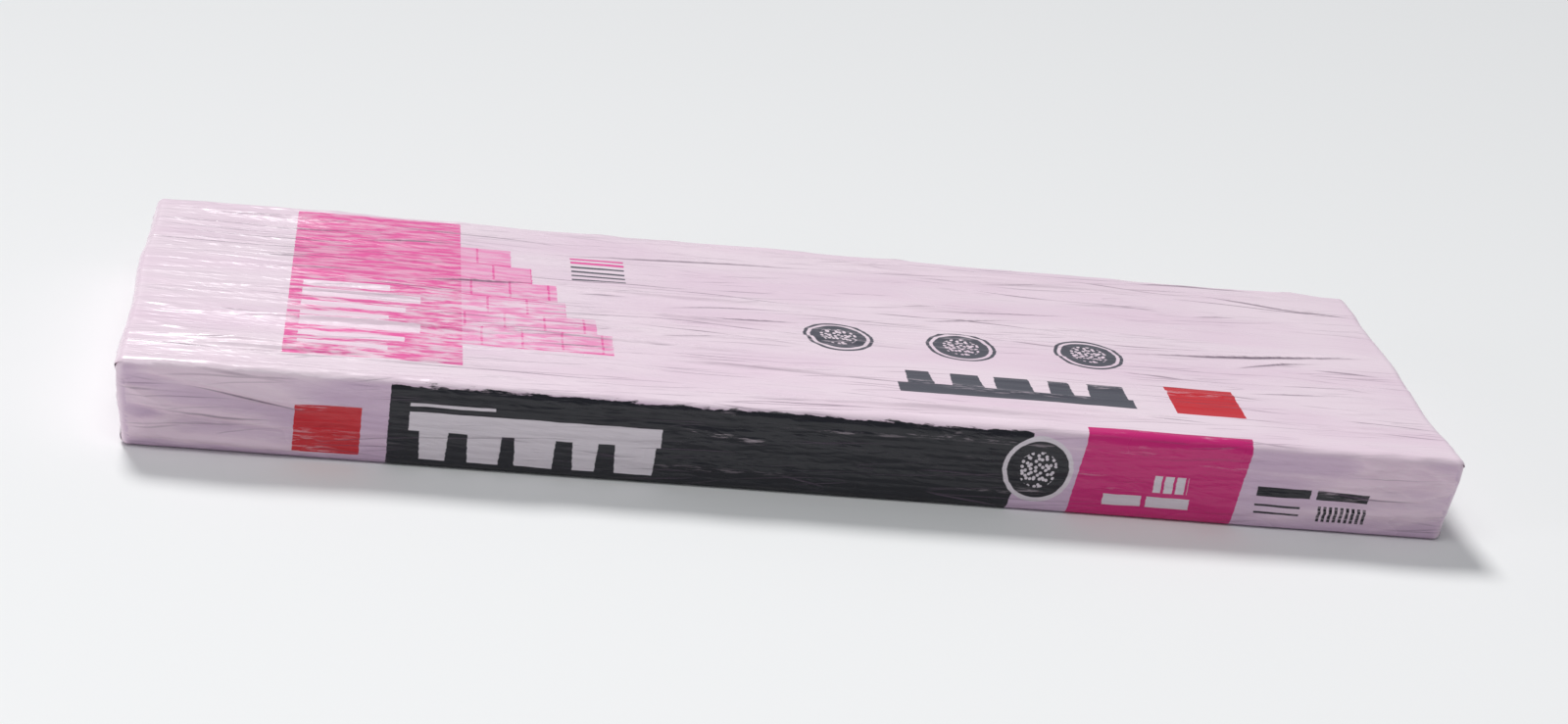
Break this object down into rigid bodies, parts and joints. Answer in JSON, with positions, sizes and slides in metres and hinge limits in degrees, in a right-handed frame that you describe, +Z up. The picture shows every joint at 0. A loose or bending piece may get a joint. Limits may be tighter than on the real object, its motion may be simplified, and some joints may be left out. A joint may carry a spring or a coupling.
{
  "type": "asphalt shingle bundle",
  "caption": "Wrapped bundle of laminated asphalt roof shingles, lying flat: nested two-ply shingles in a printed film wrap with folded ends.",
  "frame": {"origin": "centre of the wrap's underside, on the surface the bundle lies on", "axes": "+X along the bundle's length, towards its right end; -Y towards the long front side; +Z up"},
  "size_m": [1.0128, 0.345, 0.0674],
  "materials": {
    "film": "satin, printed",
    "shingle": "mineral granules on asphalt, matte"
  },
  "bodies": {
    "root": {"film_wrap": "film", "shingles_butt_front": "shingle", "shingles_butt_back": "shingle"}
  },
  "joints": []
}
